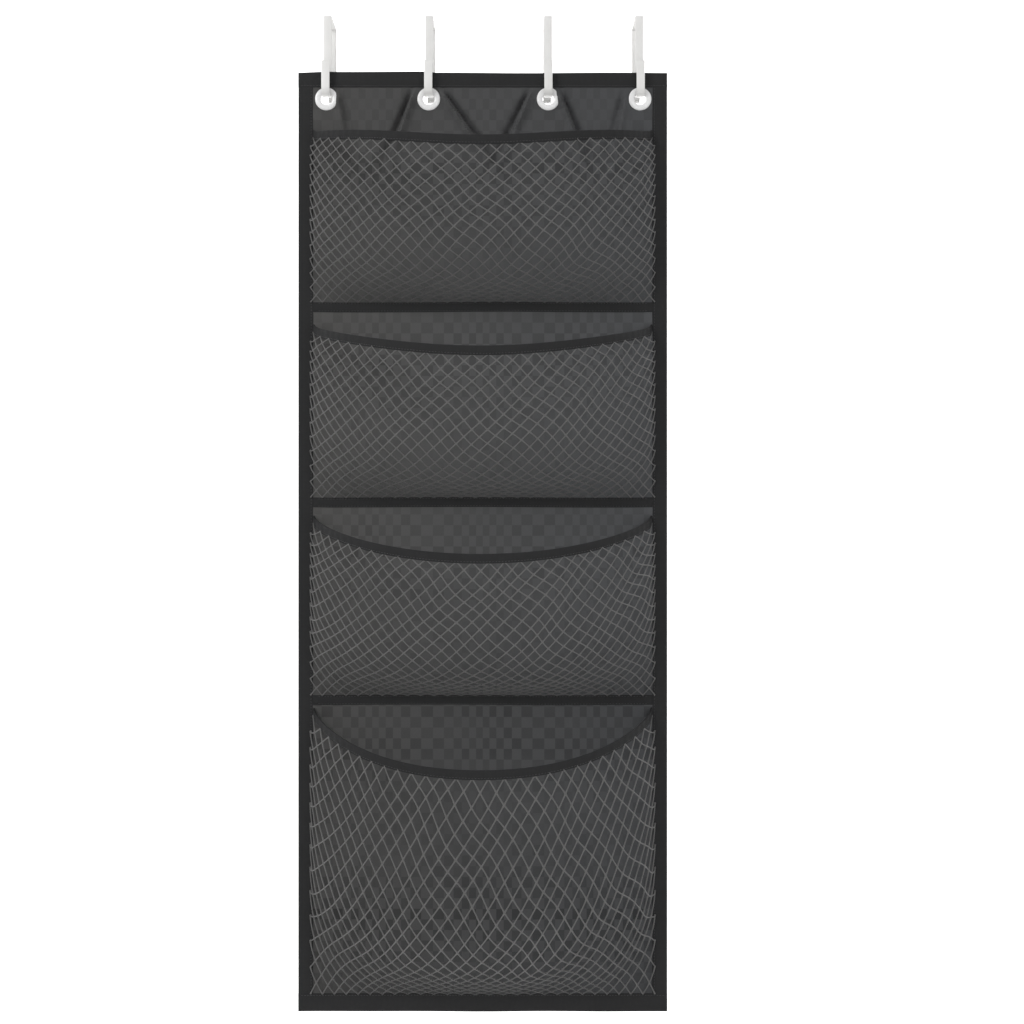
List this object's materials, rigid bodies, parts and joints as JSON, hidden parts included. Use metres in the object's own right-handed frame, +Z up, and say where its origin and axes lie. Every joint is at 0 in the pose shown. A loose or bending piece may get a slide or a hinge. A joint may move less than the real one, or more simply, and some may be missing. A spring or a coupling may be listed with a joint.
{
  "type": "shoe organizer",
  "caption": "Over-door organizer: a flat sewn panel with bulging net pockets, taped edges and metal eyelets, hung on bent strip hooks with sprung rear legs.",
  "frame": {"origin": "middle of the door's top front edge, under the hooks' bridges", "axes": "+X right across the panel, +Y from the front of the door into it, +Z up"},
  "size_m": [0.45, 0.1798, 1.219],
  "materials": {
    "hook_steel": "smooth white powder coat on bent steel strip",
    "eyelet_metal": "white enamelled pressed metal",
    "lining": "dark grey woven polyester with a faint tonal check",
    "tape": "near-black ribbed binding tape, folded and stitched",
    "net": "grey open diamond net of thin knotted strands"
  },
  "bodies": {
    "door_hooks": {"hook_1": "hook_steel", "hook_2": "hook_steel", "hook_3": "hook_steel", "hook_4": "hook_steel"},
    "section_1": {"back_panel_1": "lining", "left_tape_1": "tape", "right_tape_1": "tape", "pocket_net_1": "net", "mouth_tape_1": "tape", "eyelet_1": "eyelet_metal", "eyelet_2": "eyelet_metal", "eyelet_3": "eyelet_metal", "eyelet_4": "eyelet_metal", "eyelet_washer_1": "eyelet_metal", "eyelet_washer_2": "eyelet_metal", "eyelet_washer_3": "eyelet_metal", "eyelet_washer_4": "eyelet_metal", "top_tape": "tape", "seam_band_1": "tape"},
    "section_2": {"back_panel_2": "lining", "left_tape_2": "tape", "right_tape_2": "tape", "pocket_net_2": "net", "mouth_tape_2": "tape", "seam_band_2": "tape"},
    "section_3": {"back_panel_3": "lining", "left_tape_3": "tape", "right_tape_3": "tape", "pocket_net_3": "net", "mouth_tape_3": "tape", "seam_band_3": "tape"},
    "section_4": {"back_panel_4": "lining", "left_tape_4": "tape", "right_tape_4": "tape", "pocket_net_4": "net", "mouth_tape_4": "tape", "bottom_tape": "tape"},
    "tongue_1": {"spring_tongue_1": "hook_steel"},
    "tongue_2": {"spring_tongue_2": "hook_steel"},
    "tongue_3": {"spring_tongue_3": "hook_steel"},
    "tongue_4": {"spring_tongue_4": "hook_steel"}
  },
  "joints": [
    {"name": "panel_swing", "type": "hinge", "parent": "door_hooks", "child": "section_1", "pos_m": [0, -0.0108, -0.091], "axis": [-1, 0, 0], "range_deg": [0, 20]},
    {"name": "fold_1", "type": "hinge", "parent": "section_1", "child": "section_2", "pos_m": [0, -0.0108, -0.3652], "axis": [1, 0, 0], "range_deg": [-15, 75], "stiffness_Nm_per_rad": 0.4, "springref_deg": -8.71},
    {"name": "fold_2", "type": "hinge", "parent": "section_2", "child": "section_3", "pos_m": [0, -0.0108, -0.6032], "axis": [1, 0, 0], "range_deg": [-15, 75], "stiffness_Nm_per_rad": 0.4, "springref_deg": -6.33},
    {"name": "fold_3", "type": "hinge", "parent": "section_3", "child": "section_4", "pos_m": [0, -0.0108, -0.8442], "axis": [1, 0, 0], "range_deg": [-15, 75], "stiffness_Nm_per_rad": 0.4, "springref_deg": -3.9},
    {"name": "tongue_1_flex", "type": "hinge", "parent": "door_hooks", "child": "tongue_1", "pos_m": [-0.1906, 0.0434, -0.09], "axis": [-1, 0, 0], "range_deg": [0, 7.5], "stiffness_Nm_per_rad": 0.6},
    {"name": "tongue_2_flex", "type": "hinge", "parent": "door_hooks", "child": "tongue_2", "pos_m": [-0.0659, 0.0434, -0.09], "axis": [-1, 0, 0], "range_deg": [0, 7.5], "stiffness_Nm_per_rad": 0.6},
    {"name": "tongue_3_flex", "type": "hinge", "parent": "door_hooks", "child": "tongue_3", "pos_m": [0.0799, 0.0434, -0.09], "axis": [-1, 0, 0], "range_deg": [0, 7.5], "stiffness_Nm_per_rad": 0.6},
    {"name": "tongue_4_flex", "type": "hinge", "parent": "door_hooks", "child": "tongue_4", "pos_m": [0.1918, 0.0434, -0.09], "axis": [-1, 0, 0], "range_deg": [0, 7.5], "stiffness_Nm_per_rad": 0.6}
  ]
}
